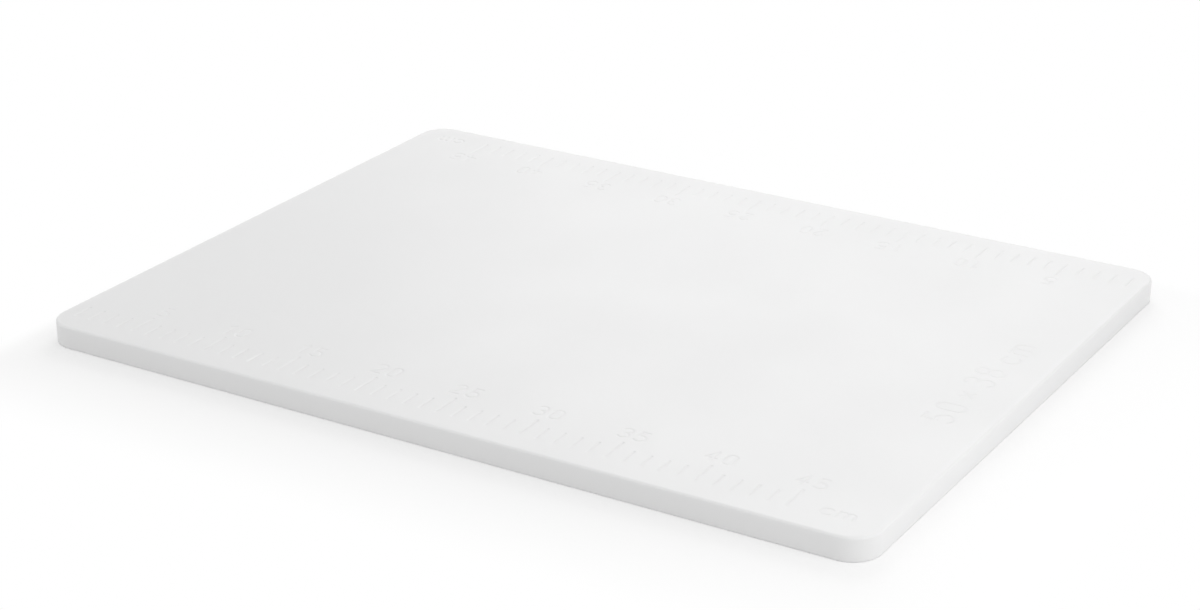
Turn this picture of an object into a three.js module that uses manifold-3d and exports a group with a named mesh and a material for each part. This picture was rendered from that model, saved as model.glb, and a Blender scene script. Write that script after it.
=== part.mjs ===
// A plastic cutting board: one moulded slab with rounded corners and softened edges. A centimetre
// scale is recessed into the cutting face along each long side, and each reads from its own side.
// Millimetres. The origin is the middle of the underside. +X runs along the long sides, +Y towards
// the far long side and +Z up through the cutting face.

import * as THREE from 'three';
import { mergeVertices } from 'three/addons/utils/BufferGeometryUtils.js';
import Module from 'manifold-3d';

// Slab
const LENGTH = 500;
const WIDTH = 380;
const THICKNESS = 13.2;
const CORNER_RADIUS = 16;
const UPPER_EDGE_RADIUS = 1.4;
const LOWER_EDGE_RADIUS = 0.3;

// Scale: distances along it count from one end of the board, and across it from the long side.
const CENTIMETRE = 10;
const LAST_MARK = 45;
const LONG_MARK_EVERY = 5;
const MARK_FOOT = 14;
const SHORT_MARK_LENGTH = 14;
const LONG_MARK_LENGTH = 20;
const MARK_WIDTH = 1.8;
const MARK_DEPTH = 0.3;
const MARK_DRAFT = 0.6;

// Facets in each quarter circle of the plan, each quarter-round edge and each mark's round end
const CORNER_STEPS = 12;
const EDGE_STEPS = 4;
const MARK_END_STEPS = 6;
// A shape's arcs are drawn with twice the curve segments that an extrusion asks for.
const STEPS_PER_CURVE_SEGMENT = 2;

const HALF_TURN = Math.PI;
const QUARTER_TURN = HALF_TURN / 2;

const whitePolyethylene = new THREE.MeshStandardMaterial({
  name: 'white_polyethylene',
  color: 0xf0f0f0,
  roughness: 0.45,
  metalness: 0,
});

const wasm = await Module();
wasm.setup();

// A closed geometry as a solid that can be joined and cut.
function solidFrom(geometry) {
  geometry.deleteAttribute('normal');
  geometry.deleteAttribute('uv');
  const merged = mergeVertices(geometry);
  return new wasm.Manifold(new wasm.Mesh({
    numProp: 3,
    vertProperties: merged.attributes.position.array,
    triVerts: Uint32Array.from(merged.index.array),
  }));
}

// A solid's surface as a geometry.
function geometryFrom(solid) {
  const surface = solid.getMesh();
  const geometry = new THREE.BufferGeometry();
  geometry.setAttribute('position', new THREE.BufferAttribute(surface.vertProperties, surface.numProp));
  geometry.setIndex(new THREE.BufferAttribute(surface.triVerts, 1));
  geometry.computeVertexNormals();
  return geometry;
}

// The slab's plan: a rectangle with a quarter circle at each corner.
function slabOutline() {
  const x = LENGTH / 2 - CORNER_RADIUS;
  const y = WIDTH / 2 - CORNER_RADIUS;
  const outline = new THREE.Shape();
  outline.absarc(x, y, CORNER_RADIUS, 0, QUARTER_TURN);
  outline.absarc(-x, y, CORNER_RADIUS, QUARTER_TURN, 2 * QUARTER_TURN);
  outline.absarc(-x, -y, CORNER_RADIUS, 2 * QUARTER_TURN, 3 * QUARTER_TURN);
  outline.absarc(x, -y, CORNER_RADIUS, 3 * QUARTER_TURN, 4 * QUARTER_TURN);
  outline.closePath();
  return outline;
}

// The slab's plan carried up from one height to another, with a quarter-round along both edges.
function roundedSlab(bottom, top, radius) {
  const geometry = new THREE.ExtrudeGeometry(slabOutline(), {
    depth: top - bottom - 2 * radius,
    curveSegments: CORNER_STEPS / STEPS_PER_CURVE_SEGMENT,
    bevelThickness: radius,
    bevelSize: radius,
    bevelOffset: -radius,
    bevelSegments: EDGE_STEPS,
  });
  geometry.translate(0, 0, bottom + radius);
  return solidFrom(geometry);
}

// The slab: what two rounded slabs share. One gives the upper edge and reaches below the underside,
// and the other gives the crisper lower edge and reaches above the cutting face.
function slab() {
  const upper = roundedSlab(-UPPER_EDGE_RADIUS, THICKNESS, UPPER_EDGE_RADIUS);
  const lower = roundedSlab(0, THICKNESS + LOWER_EDGE_RADIUS, LOWER_EDGE_RADIUS);
  return upper.intersect(lower);
}

// The floor of a mark's recess: a slot with round ends, running across the scale.
function markFloor(length) {
  const radius = MARK_WIDTH / 2 - MARK_DRAFT;
  const reach = (length - MARK_WIDTH) / 2;
  const outline = new THREE.Shape();
  outline.absarc(0, reach, radius, 0, HALF_TURN);
  outline.absarc(0, -reach, radius, HALF_TURN, 2 * HALF_TURN);
  outline.closePath();
  return outline;
}

// What is cut away for the mark at a number of centimetres: its walls lean out from the floor to
// the face by the draft, and the cutter then stands clear above the face.
function markCutter(centimetres) {
  const length = centimetres % LONG_MARK_EVERY === 0 ? LONG_MARK_LENGTH : SHORT_MARK_LENGTH;
  const geometry = new THREE.ExtrudeGeometry(markFloor(length), {
    depth: MARK_DEPTH,
    curveSegments: MARK_END_STEPS / STEPS_PER_CURVE_SEGMENT,
    bevelThickness: MARK_DEPTH,
    bevelSize: MARK_DRAFT,
    bevelSegments: 1,
  });
  const x = centimetres * CENTIMETRE - LENGTH / 2;
  const y = MARK_FOOT + length / 2 - WIDTH / 2;
  geometry.translate(x, y, THICKNESS);
  return geometry;
}

// Both scales' cutters in one solid. The far side's scale is the near side's, turned half round.
function scaleCutters() {
  const cutters = [];
  for (let centimetres = 1; centimetres <= LAST_MARK; centimetres += 1) {
    const near = markCutter(centimetres);
    const far = near.clone().rotateZ(HALF_TURN);
    cutters.push(solidFrom(near), solidFrom(far));
  }
  return cutters.reduce((joined, cutter) => joined.add(cutter));
}

const board = new THREE.Mesh(geometryFrom(slab().subtract(scaleCutters())), whitePolyethylene);
board.name = 'board';

const cuttingBoard = new THREE.Group();
cuttingBoard.add(board);

export default cuttingBoard;
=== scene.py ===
"""A white plastic cutting board with a recessed centimetre scale along each long side."""

import math
from typing import NamedTuple

import bpy
import numpy as np
from bpy.props import FloatProperty, FloatVectorProperty, IntProperty, PointerProperty
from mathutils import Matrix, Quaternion, Vector
from mathutils.geometry import delaunay_2d_cdt


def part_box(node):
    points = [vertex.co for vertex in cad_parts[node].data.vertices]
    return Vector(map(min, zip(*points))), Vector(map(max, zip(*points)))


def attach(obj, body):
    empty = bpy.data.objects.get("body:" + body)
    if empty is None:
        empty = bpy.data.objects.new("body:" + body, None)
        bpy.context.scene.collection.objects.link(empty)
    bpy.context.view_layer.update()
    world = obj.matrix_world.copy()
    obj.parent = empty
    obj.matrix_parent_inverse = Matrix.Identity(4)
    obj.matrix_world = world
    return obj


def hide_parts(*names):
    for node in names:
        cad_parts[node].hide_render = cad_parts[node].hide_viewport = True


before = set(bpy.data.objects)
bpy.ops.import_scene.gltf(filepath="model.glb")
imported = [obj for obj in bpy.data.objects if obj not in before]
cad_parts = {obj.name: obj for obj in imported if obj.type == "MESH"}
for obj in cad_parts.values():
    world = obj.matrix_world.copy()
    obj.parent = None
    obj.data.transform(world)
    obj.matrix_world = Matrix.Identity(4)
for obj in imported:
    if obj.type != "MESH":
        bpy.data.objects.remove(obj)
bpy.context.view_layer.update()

bl_info = {
    "name": "Plastic Cutting Board",
    "version": (1, 0, 0),
    "blender": (4, 5, 0),
    "location": "View3D > Sidebar > Cutting Board",
    "description": "Makes a moulded white cutting board and the studio that it is shown in",
    "category": "Add Mesh",
}

BOARD_LOW, BOARD_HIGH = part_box("board")
MM = 0.001
CENTIMETRE = 10 * MM

# How finely the surfaces are divided
CORNER_STEPS = 20
EDGE_STEPS = 8
SIDE_STEP = 20 * MM
MARK_END_STEPS = 8
GROOVE_WALL_STEPS = 6
NUMERAL_CELL = 0.26 * MM
SIZE_CELL = 0.32 * MM
# A strip of the flat this wide is kept beside every curved surface, so that the flat shades as a flat.
HOLD = 0.4 * MM
# A character's grid reaches this many cells past its grooves.
SPARE_CELLS = 3

# The flat-face filler: triangles inside the closed lines, with the holes left out
INSIDE_WITH_HOLES = 2
SAME_POINT = 1e-7

# Numerals and letters as centre lines, one unit tall with the foot at 0 and the middle at 0. A line is
# (x, y, x, y); an arc is (centre x, centre y, radius, start, sweep), in degrees, anticlockwise.
LINES = {
    "0": [(-0.25, 0.25, -0.25, 0.75), (0.25, 0.25, 0.25, 0.75)],
    "1": [(0.06, 0.0, 0.06, 1.0), (0.06, 1.0, -0.16, 0.78)],
    "2": [(0.2, 0.6, -0.25, 0.0), (-0.25, 0.0, 0.25, 0.0)],
    "4": [(0.1, 0.0, 0.1, 1.0), (0.1, 1.0, -0.28, 0.28), (-0.28, 0.28, 0.28, 0.28)],
    "5": [(0.22, 1.0, -0.18, 1.0), (-0.18, 1.0, -0.2, 0.53)],
    "x": [(-0.2, 0.22, 0.2, 0.62), (-0.2, 0.62, 0.2, 0.22)],
    "m": [(-0.4, 0.0, -0.4, 0.6), (0.0, 0.0, 0.0, 0.4), (0.4, 0.0, 0.4, 0.4)],
}
ARCS = {
    "0": [(0.0, 0.75, 0.25, 0, 180), (0.0, 0.25, 0.25, 180, 180)],
    "2": [(0.0, 0.75, 0.25, -37, 205)],
    "3": [(0.0, 0.765, 0.235, -90, 235), (0.0, 0.265, 0.265, -145, 235)],
    "5": [(-0.01, 0.3, 0.3, -142, 272)],
    "8": [(0.0, 0.765, 0.235, 0, 360), (0.0, 0.265, 0.265, 0, 360)],
    "c": [(0.05, 0.3, 0.3, 50, 260)],
    "m": [(-0.2, 0.4, 0.2, 0, 180), (0.2, 0.4, 0.2, 0, 180)],
}
ADVANCE = {"m": 1.1, "x": 0.72, " ": 0.3}
DIGIT_ADVANCE = 0.9
# No character is wider than this on either side of its middle.
HALF_WIDEST = 0.45

# Plastic: how strongly it bends light, how broken up its clouds are, and the range that most of a noise
# texture's values lie in
POLYETHYLENE_IOR = 1.53
CLOUD_DETAIL = 3
NOISE_LOW, NOISE_HIGH = 0.3, 0.7

# Stage: how far the floor reaches on every side, and how far it lies below the board
WHITE = (1, 1, 1, 1)
FLOOR_REACH = 8.0
FLOOR_GAP = 0.01 * MM


class BoardSizes(bpy.types.PropertyGroup):
    """The slab's own sizes"""

    length: FloatProperty(
        name="Length", description="Along the long sides", unit="LENGTH",
        default=BOARD_HIGH.x - BOARD_LOW.x)
    width: FloatProperty(
        name="Width", description="Along the short sides", unit="LENGTH",
        default=BOARD_HIGH.y - BOARD_LOW.y)
    thickness: FloatProperty(
        name="Thickness", description="From the underside to the cutting face", unit="LENGTH",
        default=BOARD_HIGH.z - BOARD_LOW.z)
    corner_radius: FloatProperty(
        name="Corner radius", description="Of the corners in plan", unit="LENGTH", default=16 * MM)
    upper_radius: FloatProperty(
        name="Upper edge radius", description="Of the edge round the cutting face", unit="LENGTH",
        default=1.4 * MM)
    lower_radius: FloatProperty(
        name="Lower edge radius", description="Of the edge round the underside", unit="LENGTH",
        default=0.3 * MM)


class ScaleSizes(bpy.types.PropertyGroup):
    """The sizes of the recessed scale along each long side"""

    last_mark: IntProperty(
        name="Last mark", description="Centimetres from the scale's start to its last mark", default=45)
    long_mark_every: IntProperty(
        name="Long mark every", description="Centimetres from one long mark to the next", default=5)
    mark_foot: FloatProperty(
        name="Mark foot", description="From the long side to the marks", unit="LENGTH", default=14 * MM)
    short_mark: FloatProperty(
        name="Short mark", description="Length of a centimetre's mark", unit="LENGTH", default=14 * MM)
    long_mark: FloatProperty(
        name="Long mark", description="Length of a numbered mark", unit="LENGTH", default=20 * MM)
    groove_width: FloatProperty(
        name="Groove width", description="Of a mark or a stroke, halfway down", unit="LENGTH",
        default=1.2 * MM)
    groove_depth: FloatProperty(
        name="Groove depth", description="Of a mark or a stroke", unit="LENGTH", default=0.23 * MM)
    wall_run: FloatProperty(
        name="Wall run", description="Width of a groove's S-shaped wall in plan", unit="LENGTH",
        default=1.1 * MM)
    numeral_height: FloatProperty(
        name="Numeral height", description="Height of the numerals' centre lines", unit="LENGTH",
        default=10.4 * MM)
    numeral_middle: FloatProperty(
        name="Numeral middle", description="From the long side to the middle of the numerals",
        unit="LENGTH", default=43 * MM)
    unit_place: FloatProperty(
        name="Unit place", description="From the scale's start to the middle of its unit", unit="LENGTH",
        default=475 * MM)
    size_inset: FloatProperty(
        name="Size inset", description="From the right side to the middle of the size marking",
        unit="LENGTH", default=28 * MM)
    size_height: FloatProperty(
        name="Size height", description="Height of the size marking's centre lines", unit="LENGTH",
        default=16 * MM)


class PlasticFinish(bpy.types.PropertyGroup):
    """The white polyethylene"""

    colour: FloatVectorProperty(
        name="Colour", description="Of the plastic", subtype="COLOR", size=3, default=(0.86, 0.86, 0.86))
    cloudiness: FloatProperty(
        name="Cloudiness", description="How much darker the faint clouds in the plastic are",
        subtype="FACTOR", default=0.02)
    roughness: FloatProperty(
        name="Roughness", description="Of the moulded satin surface", subtype="FACTOR", default=0.42)
    translucence: FloatProperty(
        name="Translucence", description="How far light travels in the plastic", unit="LENGTH",
        default=1.5 * MM)
    gloss_change: FloatProperty(
        name="Gloss change", description="How much the roughness changes with the clouds",
        subtype="FACTOR", default=0.03)
    cloud_scale: FloatProperty(
        name="Cloud scale", description="Clouds to a metre", default=14)
    grain_scale: FloatProperty(
        name="Grain scale", description="Grains to a metre", default=1300)
    grain_height: FloatProperty(
        name="Grain height", description="Of the fine grain that the mould leaves", unit="LENGTH",
        default=0.02 * MM)


class StageLook(bpy.types.PropertyGroup):
    """The floor, the lights and the camera. Azimuths turn from the near long side towards the right"""

    floor_colour: FloatVectorProperty(
        name="Floor colour", description="Of the pale floor", subtype="COLOR", size=3,
        default=(0.9, 0.9, 0.9))
    floor_lift: FloatProperty(
        name="Floor lift", description="How much paler the floor shows than its light makes it",
        subtype="FACTOR", default=0.163)
    # The floor's fade is painted light: white glow, seen by the camera and in reflections, covers the
    # board's shadow from fade start to fade end, and sooner on the left and behind.
    fade_start: FloatProperty(
        name="Fade start", description="From the board to where the floor begins to fade into plain white",
        unit="LENGTH", default=20 * MM)
    fade_end: FloatProperty(
        name="Fade end", description="From the board to where the floor shows as plain white",
        unit="LENGTH", default=90 * MM)
    sooner_behind: FloatProperty(
        name="Sooner behind", description="How many times sooner the floor fades on the left and behind",
        default=4.0)
    sky: FloatProperty(
        name="Sky", description="Brightness of the even light all round", default=0.776)
    back_power: FloatProperty(
        name="Back power", description="Of the softbox behind the board", unit="POWER", default=3.75)
    right_power: FloatProperty(
        name="Right power", description="Of the softbox on the right", unit="POWER", default=0.64)
    azimuth: FloatProperty(
        name="Azimuth", description="Of the camera", unit="ROTATION", default=math.radians(31.26))
    elevation: FloatProperty(
        name="Elevation", description="Of the camera above the floor", unit="ROTATION",
        default=math.radians(23.02))
    roll: FloatProperty(
        name="Roll", description="Of the camera about its line of sight", unit="ROTATION",
        default=math.radians(-0.09))
    distance: FloatProperty(
        name="Distance", description="From the camera to the point on the face that it looks at",
        unit="LENGTH", default=1.4694)
    aim: FloatVectorProperty(
        name="Aim", description="The point on the cutting face that the camera looks at", size=2,
        unit="LENGTH", default=(0.0, -14.2 * MM))
    lens: FloatProperty(name="Lens", description="Focal length", unit="CAMERA", default=79.4)


class Patch(NamedTuple):
    """A piece of surface: its points, its quads by point number, and the edges where it meets the face."""

    points: np.ndarray
    quads: np.ndarray
    border: np.ndarray


class Groove(NamedTuple):
    """A groove's section: its width halfway down, the run of its S-shaped walls in plan, and its depth."""

    width: float
    wall_run: float
    depth: float

    def floor_edge(self):
        """Distance from the centre line to the foot of the wall."""
        return (self.width - self.wall_run) / 2

    def lip(self):
        """Distance from the centre line to the top of the wall."""
        return (self.width + self.wall_run) / 2

    def sunk(self, distance):
        """Depth at a distance from the centre line: a flat floor, then an S-shaped wall up to the face."""
        rise = np.clip((self.lip() - distance) / self.wall_run, 0, 1)
        return self.depth * rise * rise * (3 - 2 * rise)


class Softbox(NamedTuple):
    """A square soft lamp: its direction from the board in degrees, its distance and its width in metres.

    Where mirrored is false it lights the board without showing in the plastic's shine."""

    azimuth: float
    elevation: float
    distance: float
    width: float
    mirrored: bool


BACK_SOFTBOX = Softbox(azimuth=200, elevation=34, distance=1.5, width=0.9, mirrored=True)
RIGHT_SOFTBOX = Softbox(azimuth=75, elevation=15, distance=0.75, width=0.4, mirrored=False)


def ring_quads(rings, steps):
    """Quads between neighbouring closed rings of points that are numbered ring by ring."""
    step = np.arange(steps)
    onward = np.roll(step, -1)
    start = np.arange(rings - 1)[:, None] * steps
    quads = np.stack([start + step, start + onward, start + steps + onward, start + steps + step], axis=-1)
    return quads.reshape(-1, 4)


def ring_edges(first, steps):
    """The edges of one closed ring of points, numbered from first."""
    step = first + np.arange(steps)
    return np.stack([step, np.roll(step, -1)], axis=1)


def outline_parts(sizes):
    """Centres and outward directions along the rounded rectangle, anticlockwise.

    Each quarter is an arc about its corner's centre and then a straight run, along which the centre
    moves on and the direction stays. A ring inset by d is centre + (corner radius - d) * direction."""
    reach = np.array([sizes.length, sizes.width]) / 2 - sizes.corner_radius
    corners = reach * np.array([(1, 1), (-1, 1), (-1, -1), (1, -1)])
    centres, headings = [], []
    for quarter, (corner, following) in enumerate(zip(corners, np.roll(corners, -1, axis=0))):
        runs = max(1, round(np.abs(following - corner).max() / SIDE_STEP))
        along = np.arange(1, runs)[:, None] / runs
        centres += [np.tile(corner, (CORNER_STEPS + 1, 1)), corner + along * (following - corner)]
        arc = (quarter + np.arange(CORNER_STEPS + 1) / CORNER_STEPS) * np.pi / 2
        headings += [arc, np.full(runs - 1, arc[-1])]
    headings = np.concatenate(headings)
    return np.concatenate(centres), np.stack([np.cos(headings), np.sin(headings)], axis=1)


def rim_profile(sizes):
    """Insets and heights up the rim: a quarter circle, the straight side and a quarter circle.

    A ring just past each end of the curves keeps the flats beside them flat in the shading."""
    lower, upper, top = sizes.lower_radius, sizes.upper_radius, sizes.thickness
    turn = np.linspace(0, np.pi / 2, EDGE_STEPS + 1)
    inset, height = 1 - np.sin(turn), 1 - np.cos(turn)
    insets = [[lower + HOLD], lower * inset, [0, 0], upper * inset[::-1], [upper + HOLD]]
    heights = [[0], lower * height, [lower + HOLD, top - upper - HOLD], top - upper * height[::-1], [top]]
    return np.concatenate(insets), np.concatenate(heights)


def rim(sizes):
    """The board's edge all round: the rim's profile carried along the rounded rectangle."""
    centres, directions = outline_parts(sizes)
    inset, height = rim_profile(sizes)
    plan = centres + (sizes.corner_radius - inset)[:, None, None] * directions
    rings, steps = plan.shape[:2]
    level = np.broadcast_to(height[:, None, None], (rings, steps, 1))
    points = np.concatenate([plan, level], axis=2).reshape(-1, 3)
    return Patch(points, ring_quads(rings, steps), ring_edges((rings - 1) * steps, steps))


def mark(length, groove):
    """A round-ended groove along Y: rings at set distances from a straight centre line.

    The floor's quads run between the two round ends, from one side to the other."""
    wall = np.linspace(groove.lip(), groove.floor_edge(), GROOVE_WALL_STEPS + 1)
    distance = np.concatenate([[groove.lip() + HOLD], wall])
    half = length / 2 - groove.lip()
    turn = np.linspace(0, np.pi, MARK_END_STEPS + 1)
    heading = np.concatenate([turn, turn + np.pi])
    middle = np.repeat([half, -half], MARK_END_STEPS + 1)
    x = distance[:, None] * np.cos(heading)
    y = distance[:, None] * np.sin(heading) + middle
    z = np.broadcast_to(-groove.sunk(distance)[:, None], x.shape)
    rings, steps = x.shape
    far_end = (rings - 1) * steps + np.arange(MARK_END_STEPS)
    near_end = rings * steps - 1 - np.arange(MARK_END_STEPS)
    floor = np.stack([far_end, far_end + 1, near_end - 1, near_end], axis=1)
    points = np.stack([x, y, z], axis=2).reshape(-1, 3)
    return Patch(points, np.concatenate([ring_quads(rings, steps), floor]), ring_edges(0, steps))


def line_distance(x, y, line):
    """Distance from each point to a straight line between two ends."""
    x0, y0, x1, y1 = line
    run, rise = x1 - x0, y1 - y0
    share = np.clip(((x - x0) * run + (y - y0) * rise) / (run * run + rise * rise), 0, 1)
    return np.hypot(x - x0 - share * run, y - y0 - share * rise)


def arc_distance(x, y, arc):
    """Distance from each point to an arc: to its circle within the sweep, to the nearer end past it."""
    centre_x, centre_y, radius, start, sweep = arc
    start, sweep = np.radians([start, sweep])
    angle = np.mod(np.arctan2(y - centre_y, x - centre_x) - start, 2 * np.pi)
    ends = start + np.array([0, sweep])
    end_x, end_y = centre_x + radius * np.cos(ends), centre_y + radius * np.sin(ends)
    to_end = np.hypot(x[..., None] - end_x, y[..., None] - end_y).min(axis=-1)
    to_circle = np.abs(np.hypot(x - centre_x, y - centre_y) - radius)
    return np.where(angle <= sweep, to_circle, to_end)


def spread(mask):
    """A mask grown by one cell all round."""
    tall = mask[:-2] | mask[1:-1] | mask[2:]
    return tall[:, :-2] | tall[:, 1:-1] | tall[:, 2:]


def glyph(character, height, cell, groove):
    """A recessed character: the groove's depth over a grid, by distance to the nearest centre line.

    Only the cells of the groove and one flat cell round it are kept, and the edges that belong to one
    kept cell alone are the border."""
    margin = groove.lip() + SPARE_CELLS * cell
    across = math.ceil((HALF_WIDEST * height + margin) / cell)
    down, up = math.ceil(margin / cell), math.ceil((height + margin) / cell)
    x, y = np.meshgrid(np.arange(-across, across + 1) * cell, np.arange(-down, up + 1) * cell)
    distances = [line_distance(x / height, y / height, line) for line in LINES.get(character, ())]
    distances += [arc_distance(x / height, y / height, arc) for arc in ARCS.get(character, ())]
    sunk = groove.sunk(np.min(distances, axis=0) * height)
    touched = (sunk[:-1, :-1] > 0) | (sunk[1:, :-1] > 0) | (sunk[:-1, 1:] > 0) | (sunk[1:, 1:] > 0)
    kept = spread(np.pad(touched, 1))
    number = np.arange(x.size).reshape(x.shape)
    quads = np.stack([number[:-1, :-1], number[:-1, 1:], number[1:, 1:], number[1:, :-1]], axis=-1)[kept]
    edges = np.stack([quads, np.roll(quads, -1, axis=1)], axis=2).reshape(-1, 2)
    _, place, count = np.unique(np.sort(edges, axis=1), axis=0, return_index=True, return_counts=True)
    used, renumbered = np.unique(quads, return_inverse=True)
    points = np.stack([x.ravel(), y.ravel(), -sunk.ravel()], axis=1)[used]
    border = np.searchsorted(used, edges[place[count == 1]])
    return Patch(points, renumbered.reshape(-1, 4), border)


def placed(patch, reading, shift):
    """The patch turned so that its X runs along reading, a unit vector in plan, and then shifted."""
    x, y, z = patch.points.T
    across, along = reading
    turned = np.stack([x * across - y * along, x * along + y * across, z], axis=1)
    return patch._replace(points=turned + shift)


def text(words, middle, reading, height, cell, groove):
    """Recessed characters in a row, with the middle of the row at a point on the face."""
    advance = np.array([ADVANCE.get(letter, DIGIT_ADVANCE) for letter in words]) * height
    starts = np.concatenate([[0], np.cumsum(advance)])
    centres = (starts[:-1] + starts[1:] - starts[-1]) / 2
    across, along = reading
    patches = []
    for letter, centre in zip(words, centres):
        if letter == " ":
            continue
        foot = np.array([centre * across + height / 2 * along, centre * along - height / 2 * across, 0])
        patches.append(placed(glyph(letter, height, cell, groove), reading, middle + foot))
    return patches


def scale_patches(sizes, scale, groove, side):
    """The marks, numerals and unit of one scale. It reads along +X where side is 1, turned about at -1."""
    reading = (side, 0)

    def on_face(along, inset):
        """The point this far along the scale and this far in from its long side."""
        x, y = along - sizes.length / 2, inset - sizes.width / 2
        return np.array([side * x, side * y, sizes.thickness])

    def words(content, along, inset):
        """Characters with their middle at that point."""
        middle = on_face(along, inset)
        return text(content, middle, reading, scale.numeral_height, NUMERAL_CELL, groove)

    patches = words("cm", scale.unit_place, scale.mark_foot + scale.short_mark / 2)
    for centimetres in range(1, scale.last_mark + 1):
        along = centimetres * CENTIMETRE
        numbered = centimetres % scale.long_mark_every == 0
        length = scale.long_mark if numbered else scale.short_mark
        middle = on_face(along, scale.mark_foot + length / 2)
        patches.append(placed(mark(length, groove), reading, middle))
        if numbered:
            patches += words(str(centimetres), along, scale.numeral_middle)
    return patches


def size_patches(sizes, scale, groove):
    """The board's size in centimetres, beside the right side and reading along it."""
    centimetres = [round(side / CENTIMETRE) for side in (sizes.length, sizes.width)]
    middle = np.array([sizes.length / 2 - scale.size_inset, 0, sizes.thickness])
    words = "{} x {} cm".format(*centimetres)
    return text(words, middle, (0, 1), scale.size_height, SIZE_CELL, groove)


def joined(patches):
    """One patch from several."""
    starts = np.cumsum([0] + [len(patch.points) for patch in patches])
    return Patch(
        np.concatenate([patch.points for patch in patches]),
        np.concatenate([patch.quads + start for patch, start in zip(patches, starts)]),
        np.concatenate([patch.border + start for patch, start in zip(patches, starts)]))


def closed_rings(edges):
    """Directed edges chained into closed rings of point numbers."""
    onward = dict(edges.tolist())
    rings = []
    while onward:
        ring = [next(iter(onward))]
        while ring[-1] in onward:
            ring.append(onward.pop(ring[-1]))
        rings.append(ring[1:])
    return rings


def flat_fill(points, edges):
    """Triangles over the flat area inside the closed rings of edges, facing up, with holes left out."""
    used, renumbered = np.unique(edges, return_inverse=True)
    plan = points[used, :2]
    rings = closed_rings(renumbered.reshape(-1, 2))
    _, _, faces, sources, _, _ = delaunay_2d_cdt(plan.tolist(), [], rings, INSIDE_WITH_HOLES, SAME_POINT)
    triangles = np.array([source[0] for source in sources])[np.array(faces)]
    first, second, third = np.moveaxis(plan[triangles], 1, 0)
    (run_a, rise_a), (run_b, rise_b) = (second - first).T, (third - first).T
    facing_down = run_a * rise_b - rise_a * run_b < 0
    triangles[facing_down] = triangles[facing_down, ::-1]
    return used[triangles]


def board_surface(sizes, scale):
    """The whole board: its rim, the recessed scales and the flats between them, as points and faces."""
    groove = Groove(scale.groove_width, scale.wall_run, scale.groove_depth)
    edge = rim(sizes)
    recesses = scale_patches(sizes, scale, groove, 1) + scale_patches(sizes, scale, groove, -1)
    whole = joined([edge, *recesses, *size_patches(sizes, scale, groove)])
    cutting_face = flat_fill(whole.points, whole.border)
    underside = flat_fill(whole.points, ring_edges(0, len(edge.border)))[:, ::-1]
    return whole.points, whole.quads.tolist() + cutting_face.tolist() + underside.tolist()


def add_node(tree, kind, inputs=None, **settings):
    """A new node with its settings, and its inputs set to values or linked from sockets."""
    node = tree.nodes.new(kind)
    for name, value in settings.items():
        setattr(node, name, value)
    for name, value in (inputs or {}).items():
        if isinstance(value, bpy.types.NodeSocket):
            tree.links.new(value, node.inputs[name])
        else:
            node.inputs[name].default_value = value
    return node


def new_material(name):
    """An empty node material, and its tree."""
    material = bpy.data.materials.new(name)
    material.use_nodes = True
    material.node_tree.nodes.clear()
    return material, material.node_tree


def moulded_polyethylene(finish):
    """Satin moulded polyethylene: milky depth, a fine grain and faint clouds in its colour and gloss."""
    material, tree = new_material("moulded_polyethylene")
    place = add_node(tree, "ShaderNodeTexCoord").outputs["Object"]
    cloud = add_node(tree, "ShaderNodeTexNoise", {
        "Vector": place, "Scale": finish.cloud_scale, "Detail": CLOUD_DETAIL}).outputs["Fac"]
    grain = add_node(tree, "ShaderNodeTexNoise", {
        "Vector": place, "Scale": finish.grain_scale}).outputs["Fac"]
    tint = add_node(tree, "ShaderNodeValToRGB", {"Fac": cloud})
    clear, cloudy = tint.color_ramp.elements
    clear.color = (*finish.colour, 1)
    cloudy.color = (*(value * (1 - finish.cloudiness) for value in finish.colour), 1)
    gloss = add_node(tree, "ShaderNodeMapRange", {
        "Value": cloud, "From Min": NOISE_LOW, "From Max": NOISE_HIGH,
        "To Min": finish.roughness - finish.gloss_change,
        "To Max": finish.roughness + finish.gloss_change})
    bump = add_node(tree, "ShaderNodeBump", {"Height": grain, "Distance": finish.grain_height})
    plastic = add_node(tree, "ShaderNodeBsdfPrincipled", {
        "Base Color": tint.outputs["Color"], "Roughness": gloss.outputs["Result"],
        "IOR": POLYETHYLENE_IOR, "Normal": bump.outputs["Normal"],
        "Subsurface Weight": 1, "Subsurface Radius": (1, 1, 1), "Subsurface Scale": finish.translucence})
    add_node(tree, "ShaderNodeOutputMaterial", {"Surface": plastic.outputs["BSDF"]})
    return material


def mesh_object(name, points, faces, material):
    """A smooth-shaded mesh object at the origin."""
    mesh = bpy.data.meshes.new(name)
    mesh.from_pydata(points.tolist(), [], faces)
    if mesh.validate(verbose=True):
        raise RuntimeError(f"{name} has faces that aren't sound")
    mesh.shade_smooth()
    mesh.materials.append(material)
    piece = bpy.data.objects.new(name, mesh)
    bpy.context.scene.collection.objects.link(piece)
    return piece


class CUTTING_BOARD_OT_make_board(bpy.types.Operator):
    """Make the moulded board with its recessed scales"""

    bl_idname = "cutting_board.make_board"
    bl_label = "Make Board"

    def execute(self, context):
        scene = context.scene
        points, faces = board_surface(scene.board_sizes, scene.scale_sizes)
        board = mesh_object("moulded_board", points, faces, moulded_polyethylene(scene.plastic_finish))
        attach(board, "root")
        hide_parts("board")
        return {"FINISHED"}


def seen_directly(tree):
    """1 for rays from the camera, and for those mirrored or let through on the way to it."""
    path = add_node(tree, "ShaderNodeLightPath").outputs
    mirrored = add_node(tree, "ShaderNodeMath", {0: path["Is Camera Ray"], 1: path["Is Glossy Ray"]},
                        operation="MAXIMUM")
    seen = add_node(tree, "ShaderNodeMath", {0: mirrored.outputs[0], 1: path["Is Transmission Ray"]},
                    operation="MAXIMUM")
    return seen.outputs[0]


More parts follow.
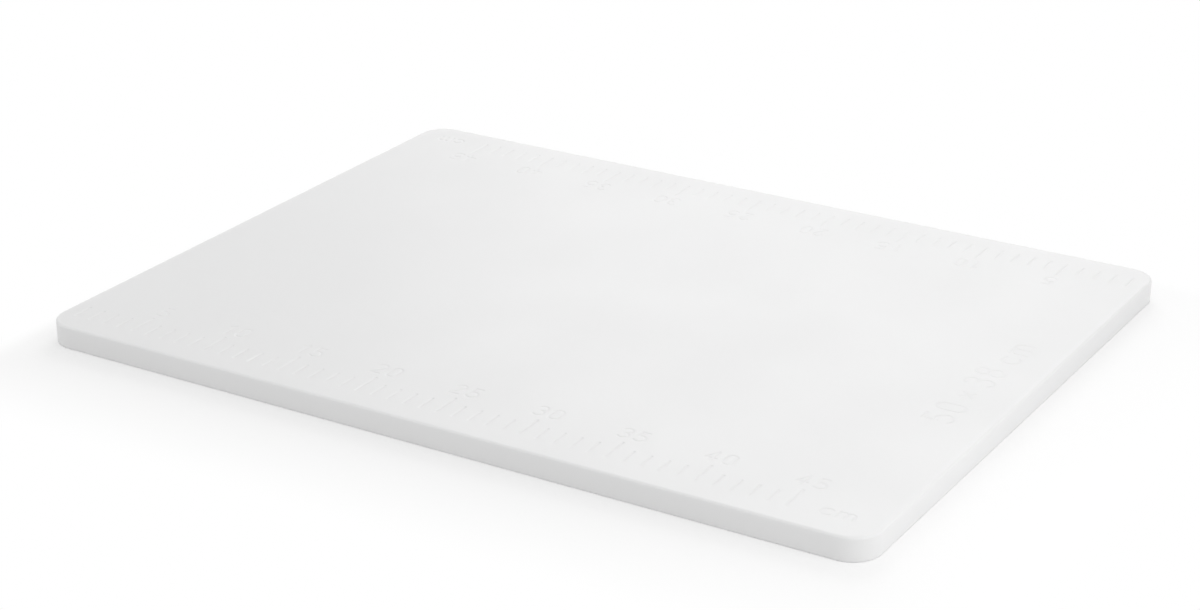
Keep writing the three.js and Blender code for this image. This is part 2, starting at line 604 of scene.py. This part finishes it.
def beside_board(tree, look, sizes):
    """0 beside the board, rising smoothly to 1 where the floor's painted white, which hides the board's
    shadow, is complete.

    Distances past the left and the back of the outline count several times over, so the shadow is painted
    out sooner there."""
    place = add_node(tree, "ShaderNodeTexCoord").outputs["Object"]
    x, y, sooner = sizes.length / 2, sizes.width / 2, look.sooner_behind

    def vector_math(operation, *terms):
        """The outputs of one vector operation on sockets or fixed vectors."""
        return add_node(tree, "ShaderNodeVectorMath", dict(enumerate(terms)), operation=operation).outputs

    right_front = vector_math("MULTIPLY_ADD", place, (1, -1, 0), (-x, -y, 0))[0]
    left_back = vector_math("MULTIPLY_ADD", place, (-sooner, sooner, 0), (-sooner * x, -sooner * y, 0))[0]
    past = vector_math("MAXIMUM", right_front, left_back)[0]
    outside = vector_math("MAXIMUM", past, (0, 0, 0))[0]
    away = vector_math("LENGTH", outside)["Value"]
    fade = add_node(tree, "ShaderNodeMapRange", {
        "Value": away, "From Min": look.fade_start, "From Max": look.fade_end},
        interpolation_type="SMOOTHSTEP")
    return fade.outputs["Result"]


def pale_floor_material(look, sizes):
    """A white floor that shows the board's shadow beside the board and painted plain white farther away,
    which paints the shadow out.
    """
    material, tree = new_material("pale_floor")
    matt = add_node(tree, "ShaderNodeBsdfDiffuse", {"Color": (*look.floor_colour, 1)})
    lift = add_node(tree, "ShaderNodeEmission", {"Color": WHITE, "Strength": look.floor_lift})
    white = add_node(tree, "ShaderNodeEmission", {"Color": WHITE, "Strength": 1})
    near = add_node(tree, "ShaderNodeAddShader", {0: matt.outputs[0], 1: lift.outputs[0]})
    shown = add_node(tree, "ShaderNodeMixShader", {
        # Painted light: farther from the board the floor shows painted white in place of its lit colour
        # and the board's shadow.
        0: beside_board(tree, look, sizes), 1: near.outputs[0], 2: white.outputs[0]})
    floor = add_node(tree, "ShaderNodeMixShader", {
        0: seen_directly(tree), 1: matt.outputs[0], 2: shown.outputs[0]})
    add_node(tree, "ShaderNodeOutputMaterial", {"Surface": floor.outputs[0]})
    return material


def add_floor(look, sizes):
    """A wide floor just under the board."""
    plan = FLOOR_REACH * np.array([(-1, -1), (1, -1), (1, 1), (-1, 1)])
    points = np.insert(plan, 2, BOARD_LOW.z - FLOOR_GAP, axis=1)
    mesh_object("floor", points, [[0, 1, 2, 3]], pale_floor_material(look, sizes))


def direction(azimuth, elevation):
    """The unit vector from the board at an azimuth and an elevation."""
    flat = math.cos(elevation)
    return Vector((math.sin(azimuth) * flat, -math.cos(azimuth) * flat, math.sin(elevation)))


def add_softbox(name, softbox, power):
    """A softbox that faces the board, out of the camera's sight."""
    lamp = bpy.data.lights.new(name, "AREA")
    lamp.size = softbox.width
    lamp.energy = power
    away = direction(math.radians(softbox.azimuth), math.radians(softbox.elevation))
    item = bpy.data.objects.new(name, lamp)
    item.location = away * softbox.distance
    item.rotation_euler = (-away).to_track_quat("-Z", "Y").to_euler()
    item.visible_camera = False
    item.visible_glossy = softbox.mirrored
    bpy.context.scene.collection.objects.link(item)


def add_sky(look):
    """Even light all round the board, which shows as plain white."""
    world = bpy.data.worlds.new("studio")
    world.use_nodes = True
    tree = world.node_tree
    tree.nodes.clear()
    light = add_node(tree, "ShaderNodeBackground", {"Color": WHITE, "Strength": look.sky})
    white = add_node(tree, "ShaderNodeBackground", {"Color": WHITE, "Strength": 1})
    sky = add_node(tree, "ShaderNodeMixShader", {
        0: seen_directly(tree), 1: light.outputs[0], 2: white.outputs[0]})
    add_node(tree, "ShaderNodeOutputWorld", {"Surface": sky.outputs[0]})
    bpy.context.scene.world = world


def add_camera(look, face):
    """The camera at the viewing angle, looking at a point on the cutting face."""
    back = direction(look.azimuth, look.elevation)
    level = (-back).to_track_quat("-Z", "Y")
    lens = bpy.data.cameras.new("camera")
    lens.lens = look.lens
    camera = bpy.data.objects.new("camera", lens)
    camera.location = Vector((*look.aim, face)) + back * look.distance
    camera.rotation_euler = (level @ Quaternion((0, 0, 1), look.roll)).to_euler()
    bpy.context.scene.collection.objects.link(camera)
    bpy.context.scene.camera = camera


class CUTTING_BOARD_OT_set_stage(bpy.types.Operator):
    """Set the floor, the lights and the camera"""

    bl_idname = "cutting_board.set_stage"
    bl_label = "Set Stage"

    def execute(self, context):
        scene = context.scene
        look, sizes = scene.stage_look, scene.board_sizes
        add_camera(look, sizes.thickness)
        add_floor(look, sizes)
        add_sky(look)
        add_softbox("back", BACK_SOFTBOX, look.back_power)
        add_softbox("right", RIGHT_SOFTBOX, look.right_power)
        scene.view_settings.view_transform = "Standard"
        return {"FINISHED"}


class CUTTING_BOARD_PT_sidebar(bpy.types.Panel):
    """The board's sizes and finish, and the buttons that make it"""

    bl_label = "Cutting Board"
    bl_idname = "CUTTING_BOARD_PT_sidebar"
    bl_space_type = "VIEW_3D"
    bl_region_type = "UI"
    bl_category = "Cutting Board"

    def draw(self, context):
        for group in SETTINGS:
            settings = getattr(context.scene, group)
            box = self.layout.box()
            box.label(text=settings.bl_rna.description)
            for name in SETTINGS[group].__annotations__:
                box.prop(settings, name)
        for operator in OPERATORS:
            self.layout.operator(operator.bl_idname)


SETTINGS = {
    "board_sizes": BoardSizes,
    "scale_sizes": ScaleSizes,
    "plastic_finish": PlasticFinish,
    "stage_look": StageLook,
}
OPERATORS = (CUTTING_BOARD_OT_make_board, CUTTING_BOARD_OT_set_stage)
CLASSES = (*SETTINGS.values(), *OPERATORS, CUTTING_BOARD_PT_sidebar)


def register():
    """Register the classes and hang the settings on the scene."""
    for cls in CLASSES:
        bpy.utils.register_class(cls)
    for name, group in SETTINGS.items():
        setattr(bpy.types.Scene, name, PointerProperty(type=group))


def unregister():
    """Take the settings off the scene and unregister the classes."""
    for name in SETTINGS:
        delattr(bpy.types.Scene, name)
    for cls in reversed(CLASSES):
        bpy.utils.unregister_class(cls)


def main():
    register()
    bpy.ops.cutting_board.make_board()
    bpy.ops.cutting_board.set_stage()


if __name__ == "__main__":
    main()
